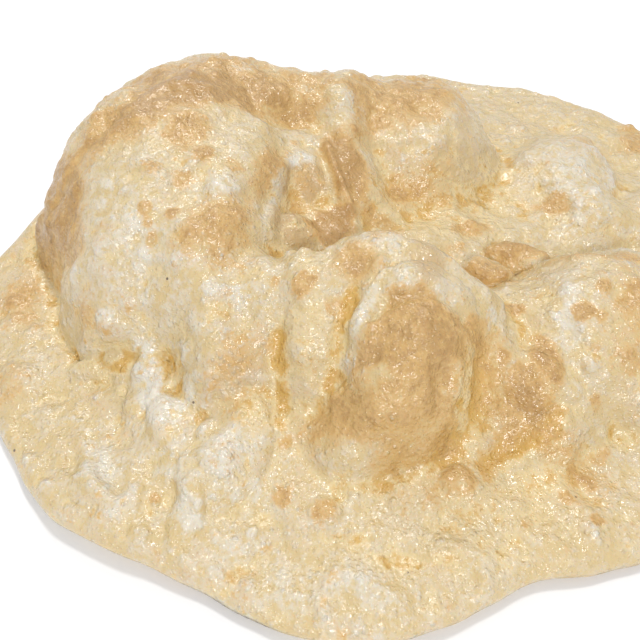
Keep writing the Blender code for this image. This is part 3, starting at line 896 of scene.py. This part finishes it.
def spot_cover(x, y):
    """How strongly the round spots cover plan points: full towards their edges, fainter inside."""
    frayed = layered_noise(SPOT_FRAYS, x, y)
    cover = np.zeros(x.shape)
    for spot_x, spot_y, radius, strength in SPOTS:
        reach = np.hypot(x - spot_x, y - spot_y) / radius + frayed
        ring = 1.0 - SPOT_FAINTNESS * (1.0 - smooth_step(reach, *SPOT_INSIDE))
        cover = np.maximum(cover, strength * ring * (1.0 - smooth_step(reach, *SPOT_EDGE)))
    return cover


def small_relief(points):
    """How far the skin stands out in small blisters, lumps and ridges, and which blisters brown."""
    raised = np.zeros(points.shape[:-1])
    browned = np.zeros(points.shape[:-1])
    for spacing, smallest, largest, taken, rise, seed in SMALL_BLISTERS:
        height, chance = blisters_in_space(points, spacing, smallest, largest, taken, seed)
        raised += rise * height
        browned = np.maximum(browned, tinted(TOP_BROWN, height) * smooth_step(chance, *TOP_CHANCE))
    for size, reach, seed in SKIN_LUMPS:
        raised += reach * noise_in_space(points, size, seed)
    ridges = np.abs(noise_in_space(points, CRINKLE_SIZE, CRINKLE_SEED))
    raised += CRINKLE_REACH * (1.0 - CRINKLE_SHARPNESS * ridges)
    return raised, browned


def top_skin(x, y):
    """The top skin's points, raised by its small relief, with its amounts of each colour."""
    points = np.stack([x, y, top_height(x, y)], axis=-1)
    normals = grid_normals(blurred(points, PUSH_ROUNDS))
    share, _ = place_on_sheet(x, y)
    spots = spot_cover(x, y)
    raised, tops = small_relief(points)
    raised += SPOT_RISE * spots
    hollow = ((blurred(points, HOLLOW_ROUNDS) - points) * normals).sum(axis=-1)
    relief = raised - blurred(raised, RELIEF_ROUNDS)
    calm = smooth_step(1.0 - share, 0.0, CALM_RIM)
    points = points + normals * (raised * calm)[..., None]
    points[..., 2] = np.maximum(points[..., 2], 0.0)
    drifts = sum(reach * noise_in_space(points, size, seed) for size, reach, seed in DRIFTS)
    return points, {
        "browned": np.maximum(patch_cover(BROWNED, x, y), spots) + tops + drifts,
        # Oil, and painted shade and glow in creases and hollows.
        "soaked_and_shaded": patch_cover(SOAKED_AND_SHADED, x, y) + tinted(HOLLOW_SHADE_AND_OIL, hollow) + tinted(DIP_SHADE_AND_OIL, -relief),
        "pale": patch_cover(PALE, x, y) + tinted(RISE_PALE, relief),
        # Painted shade on faces turned away from the light.
        "painted_shade": patch_cover(PAINTED_SHADE, x, y),
    }


def underside_height(x, y):
    """The solid's underside, pushed up a little by dents between the places it rests on."""
    return bottom_height(x, y) + DENT_DEPTH * np.maximum(layered_noise(DENTS, x, y), 0.0)


def underside_colour(name, points):
    """The underside's amounts of a colour: browned unevenly, and nothing else."""
    if name == "browned":
        return UNDERSIDE_TONE + layered_noise(UNDERSIDE_DRIFTS, points[:, 0], points[:, 1])
    return np.zeros(len(points))


def grid_faces(index):
    """Two triangles for each cell of a grid of points, parted along the way to the grid's middle."""
    cells = len(index) - 1
    i, j = np.meshgrid(np.arange(cells), np.arange(cells), indexing="ij")
    a = index[:-1, :-1]
    b = index[1:, :-1]
    c = index[1:, 1:]
    d = index[:-1, 1:]
    same_side = ((i < cells / 2) == (j < cells / 2))[..., None]
    first = np.where(same_side, np.stack([a, b, c], -1), np.stack([a, b, d], -1))
    second = np.where(same_side, np.stack([a, c, d], -1), np.stack([b, c, d], -1))
    return np.concatenate([first.reshape(-1, 3), second.reshape(-1, 3)])


def band_faces(outer, inner):
    """Triangles between two rings of points, the inner one with as many points or half as many."""
    after = np.roll(inner, -1)
    if len(inner) == len(outer):
        near = np.roll(outer, -1)
        return [np.stack([outer, inner, near], -1), np.stack([near, inner, after], -1)]
    even = outer[::2]
    odd = outer[1::2]
    last = np.roll(even, -1)
    return [
        np.stack([even, inner, odd], -1),
        np.stack([odd, inner, after], -1),
        np.stack([odd, after, last], -1),
    ]


def underside(rim, angle, first):
    """The underside's points and faces, in rings from the rim's points inward to its middle."""
    points = []
    faces = []
    outer = rim
    for step, shares in UNDERSIDE_RINGS:
        turned = angle[::step]
        for share in shares:
            radius = share * outline_radius(turned)
            x = radius * np.cos(turned)
            y = radius * np.sin(turned)
            points.append(np.stack([x, y, underside_height(x, y)], axis=-1))
            inner = first + np.arange(len(turned))
            first += len(turned)
            faces += band_faces(outer, inner)
            outer = inner
    points.append(np.zeros((1, 3)))
    faces.append(np.stack([outer, np.full(len(outer), first), np.roll(outer, -1)], -1))
    return np.concatenate(points), np.concatenate(faces)


def bread_uv(count, points, top_faces, under_faces):
    """UV places of the faces' corners: the top's grid as an oblong, and the underside as its plan."""
    steps = np.linspace(0.0, 1.0, count)
    u, v = np.meshgrid(steps, steps, indexing="ij")
    top_uv = TOP_MAP_CORNER + np.stack([TOP_MAP_WIDTH * u, TOP_MAP_HEIGHT * v], axis=-1).reshape(-1, 2)
    under_uv = np.array(UNDER_MAP_MIDDLE) + UNDER_MAP_SCALE * points[:, :2]
    return np.concatenate([top_uv[top_faces.reshape(-1)], under_uv[under_faces.reshape(-1)]])


def bread_mesh():
    """The whole skin as one closed mesh, with its colours as attributes and its UV map."""
    x, y = disc_grid(GRID_CELLS)
    middle = np.array([0.5 * (x.min() + x.max()), 0.5 * (y.min() + y.max()), 0.0])
    x, y = settled(x, y)
    top, colours = top_skin(x, y)
    index = np.arange(x.size).reshape(x.shape)
    rim = np.concatenate([index[:-1, 0], index[-1, :-1], index[:0:-1, -1], index[0, :0:-1]])
    below, under_faces = underside(rim, np.arctan2(y, x).reshape(-1)[rim], x.size)
    top_faces = grid_faces(index)
    points = np.concatenate([top.reshape(-1, 3), below]) - middle
    faces = np.concatenate([top_faces, under_faces])

    mesh = bpy.data.meshes.new("bread")
    mesh.from_pydata(points.tolist(), [], faces.tolist())
    mesh.shade_smooth()
    for name, values in colours.items():
        layer = mesh.attributes.new(name, "FLOAT", "POINT")
        amounts = np.concatenate([values.reshape(-1), underside_colour(name, below)])
        layer.data.foreach_set("value", amounts)
    layer = mesh.uv_layers.new(name="OFBake")
    layer.data.foreach_set("uv", bread_uv(len(x), points, top_faces, under_faces).reshape(-1))
    return mesh


class Nodes:
    """Short ways to build a material's nodes."""

    def __init__(self, material):
        material.use_nodes = True
        self.tree = material.node_tree
        self.shader = self.tree.nodes["Principled BSDF"]

    def link(self, source, target):
        self.tree.links.new(source, target)

    def attribute(self, name):
        node = self.tree.nodes.new("ShaderNodeAttribute")
        node.attribute_name = name
        return node.outputs["Fac"]

    def place(self):
        return self.tree.nodes.new("ShaderNodeTexCoord").outputs["Object"]

    def noise(self, place, size, detail, roughness):
        node = self.tree.nodes.new("ShaderNodeTexNoise")
        node.inputs["Scale"].default_value = 1.0 / size
        node.inputs["Detail"].default_value = detail
        node.inputs["Roughness"].default_value = roughness
        self.link(place, node.inputs["Vector"])
        return node.outputs["Fac"]

    def swing(self, value):
        """A noise's value drawn out from about -1 to 1, with its middle at 0."""
        return self.sum((value, 4.0), (-2.0, 1.0))

    def cells(self, place, size):
        """Distance to the nearest of points strewn at random, one to each stretch of a size."""
        node = self.tree.nodes.new("ShaderNodeTexVoronoi")
        node.inputs["Scale"].default_value = 1.0 / size
        self.link(place, node.inputs["Vector"])
        return node.outputs["Distance"]

    def sum(self, *terms):
        """The sum of (socket or number, factor) pairs."""
        total = 0.0
        for source, factor in terms:
            node = self.tree.nodes.new("ShaderNodeMath")
            node.operation = "MULTIPLY_ADD"
            for socket, value in zip(node.inputs, (source, factor, total)):
                if isinstance(value, (int, float)):
                    socket.default_value = value
                else:
                    self.link(value, socket)
            total = node.outputs[0]
        return total

    def times(self, first, second):
        node = self.tree.nodes.new("ShaderNodeMath")
        node.operation = "MULTIPLY"
        self.link(first, node.inputs[0])
        self.link(second, node.inputs[1])
        return node.outputs[0]

    def ramp(self, value, low, high, start=0.0, end=1.0):
        """An easy curve from the start to the end number, as a value goes from low to high."""
        node = self.tree.nodes.new("ShaderNodeMapRange")
        node.interpolation_type = "SMOOTHSTEP"
        self.link(value, node.inputs["Value"])
        for name, number in (("From Min", low), ("From Max", high), ("To Min", start), ("To Max", end)):
            node.inputs[name].default_value = number
        return node.outputs["Result"]

    def mix(self, factor, first, second):
        """The first colour, or as the factor rises the second. Each is a socket or three numbers."""
        node = self.tree.nodes.new("ShaderNodeMix")
        node.data_type = "RGBA"
        self.link(factor, node.inputs["Factor"])
        sockets = [socket for socket in node.inputs if socket.type == "RGBA"]
        for socket, colour in zip(sockets, (first, second)):
            if isinstance(colour, tuple):
                socket.default_value = (*colour, 1.0)
            else:
                self.link(colour, socket)
        return [socket for socket in node.outputs if socket.type == "RGBA"][0]

    def bump(self, height, depth, before=None):
        """A normal bent by a height, over an earlier bump where there is one."""
        node = self.tree.nodes.new("ShaderNodeBump")
        node.inputs["Distance"].default_value = depth
        self.link(height, node.inputs["Height"])
        if before:
            self.link(before, node.inputs["Normal"])
        return node.outputs["Normal"]


def dough_patterns(nodes, place):
    """The mottling, froth and painted attributes that the dough's amounts are mixed from, by name."""
    patterns = {"steady": 1.0}
    for name in ("browned", "soaked_and_shaded", "pale", "painted_shade"):
        patterns[name] = nodes.attribute(name)
    for name, (size, detail, roughness) in MOTTLING.items():
        patterns[name] = nodes.swing(nodes.noise(place, size, detail, roughness))
    for name, size in FROTH.items():
        patterns[name] = nodes.ramp(nodes.cells(place, size), DOME_REACH, 0.0)
    crowd = nodes.ramp(patterns["middle"], *CROWDED, SPARSE, 1.0)
    for name in ("large", "small"):
        patterns[name] = nodes.times(patterns[name], crowd)
    return patterns


def dough_material():
    """Fried dough: creamy and mottled, browned, pale and oily where it is painted so, with painted shade
    and glow, and painted highlights on its froth.
    """
    material = bpy.data.materials.new("fried_dough")
    nodes = Nodes(material)
    shader = nodes.shader
    place = nodes.place()
    patterns = dough_patterns(nodes, place)

    def mixed(name):
        return nodes.sum(*((patterns[pattern], share) for pattern, share in MIXES[name].items()))

    amounts = {name: mixed(name) for name in ("cream", "white", "shading", "oil_and_shade", "toast")}
    colour = YELLOW_CREAM
    for layer in LAYERS:
        cover = nodes.ramp(amounts[layer.amount], layer.low, layer.high, 0.0, layer.most)
        colour = nodes.mix(cover, colour, layer.colour)
    specks = nodes.ramp(nodes.cells(place, SPECK_SPACING), SPECK_EDGE, SPECK_CORE, 0.0, SPECK_STRENGTH)
    nodes.link(nodes.mix(specks, colour, SPECK), shader.inputs["Base Color"])

    patterns["wet"] = nodes.ramp(amounts["oil_and_shade"], *WET)
    nodes.link(nodes.ramp(mixed("dullness"), *DULLNESS, *ROUGHNESS), shader.inputs["Roughness"])
    wrinkles = nodes.bump(mixed("wrinkles"), WRINKLE_DEPTH)
    skin = nodes.bump(mixed("blisters"), FROTH_DEPTH, wrinkles)
    nodes.link(skin, shader.inputs["Normal"])
    nodes.link(skin, shader.inputs["Coat Normal"])
    shader.inputs["Subsurface Weight"].default_value = SUBSURFACE_WEIGHT
    shader.inputs["Subsurface Radius"].default_value = SUBSURFACE_RADIUS
    shader.inputs["Subsurface Scale"].default_value = SUBSURFACE_SCALE
    shader.inputs["Coat Weight"].default_value = OIL_WEIGHT
    shader.inputs["Coat Roughness"].default_value = OIL_ROUGHNESS
    return material


def make_bread():
    """The bread's skin, in place of the solid."""
    bread = bpy.data.objects.new("bread", bread_mesh())
    bread.data.materials.append(dough_material())
    bpy.context.scene.collection.objects.link(bread)
    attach(bread, "root")
    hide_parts("puri")


def make_floor():
    """A plain pale floor under the bread."""
    half = FLOOR_SIZE / 2
    corners = [(-half, -half, 0), (half, -half, 0), (half, half, 0), (-half, half, 0)]
    mesh = bpy.data.meshes.new("floor")
    mesh.from_pydata(corners, [], [(0, 1, 2, 3)])
    floor = bpy.data.objects.new("floor", mesh)
    material = bpy.data.materials.new("floor")
    material.use_nodes = True
    shader = material.node_tree.nodes["Principled BSDF"]
    shader.inputs["Base Color"].default_value = (*FLOOR_COLOUR, 1.0)
    shader.inputs["Roughness"].default_value = FLOOR_ROUGHNESS
    mesh.materials.append(material)
    bpy.context.scene.collection.objects.link(floor)


def make_light(name, place, width, watts):
    """A soft square light that faces the bread."""
    light = bpy.data.lights.new(name, "AREA")
    light.energy = watts
    light.size = width
    lamp = bpy.data.objects.new(name, light)
    lamp.location = place
    lamp.rotation_euler = (-Vector(place)).to_track_quat("-Z", "Y").to_euler()
    bpy.context.scene.collection.objects.link(lamp)


def light_scene():
    """The studio's lights, and even light from all round."""
    for name, place, width, watts in LIGHTS:
        make_light(name, place, width, watts)
    world = bpy.data.worlds.new("studio")
    world.use_nodes = True
    background = world.node_tree.nodes["Background"]
    background.inputs["Color"].default_value = (*WORLD_COLOUR, 1.0)
    background.inputs["Strength"].default_value = WORLD_STRENGTH
    bpy.context.scene.world = world
    bpy.context.scene.view_settings.view_transform = "Standard"


def make_camera():
    """A wide camera, close over the bread and tilted up from straight down."""
    camera = bpy.data.cameras.new("camera")
    camera.lens = CAMERA_LENS
    camera.sensor_width = SENSOR
    stand = bpy.data.objects.new("camera", camera)
    stand.location = CAMERA_PLACE
    stand.rotation_euler = (math.radians(CAMERA_TILT), 0.0, 0.0)
    bpy.context.scene.collection.objects.link(stand)
    bpy.context.scene.camera = stand


make_camera()
make_bread()
make_floor()
light_scene()
